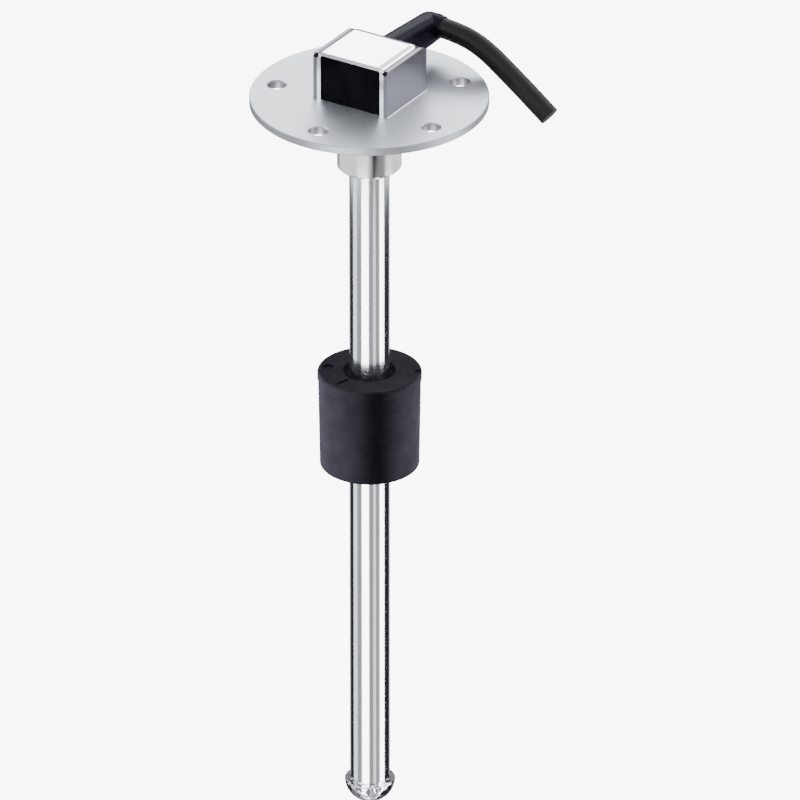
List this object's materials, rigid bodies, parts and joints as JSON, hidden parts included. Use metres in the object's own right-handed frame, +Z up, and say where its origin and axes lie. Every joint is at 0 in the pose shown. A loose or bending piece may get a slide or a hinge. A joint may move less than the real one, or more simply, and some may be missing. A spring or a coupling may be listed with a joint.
{
  "type": "fuel level sender",
  "caption": "Tank level sender: round bolted flange, boxed cable outlet, slim steel stem and a black float that slides along it past hidden reed switches.",
  "frame": {"origin": "centre of the flange's underside, which seats on the tank", "axes": "+Z up along the stem, -Y towards the housing's resin face, +X the side the cable leaves towards"},
  "size_m": [0.0769, 0.0685, 0.2427],
  "materials": {
    "satin_steel": "satin",
    "polished_steel": "polished",
    "black_resin": "semi-gloss",
    "boot_rubber": "satin",
    "cable_rubber": "satin",
    "float_rubber": "satin",
    "ferrite": "matte",
    "board_green": "satin",
    "pink_insulation": "satin",
    "black_insulation": "satin",
    "reed_glass": "clear",
    "resistor_black": "matte"
  },
  "bodies": {
    "stem": {"cable": "cable_rubber", "cable_boot": "boot_rubber", "divider_resistor_01": "resistor_black", "divider_resistor_02": "resistor_black", "divider_resistor_03": "resistor_black", "divider_resistor_04": "resistor_black", "divider_resistor_05": "resistor_black", "divider_resistor_06": "resistor_black", "divider_resistor_07": "resistor_black", "divider_resistor_08": "resistor_black", "divider_resistor_09": "resistor_black", "end_stop": "polished_steel", "flange_plate": "satin_steel", "housing_cover": "satin_steel", "housing_wrap": "satin_steel", "lead_wire_ground": "black_insulation", "lead_wire_signal": "pink_insulation", "potting_resin": "black_resin", "reed_board": "board_green", "reed_switch_01": "reed_glass", "reed_switch_02": "reed_glass", "reed_switch_03": "reed_glass", "reed_switch_04": "reed_glass", "reed_switch_05": "reed_glass", "reed_switch_06": "reed_glass", "reed_switch_07": "reed_glass", "reed_switch_08": "reed_glass", "reed_switch_09": "reed_glass", "stem_tube": "polished_steel", "tank_sleeve": "satin_steel"},
    "float": {"float_body": "float_rubber", "float_magnet": "ferrite"}
  },
  "joints": [
    {"name": "float_slide", "type": "slide", "parent": "stem", "child": "float", "axis": [0, 0, 1], "range_m": [-0.10235, 0.0647]}
  ]
}
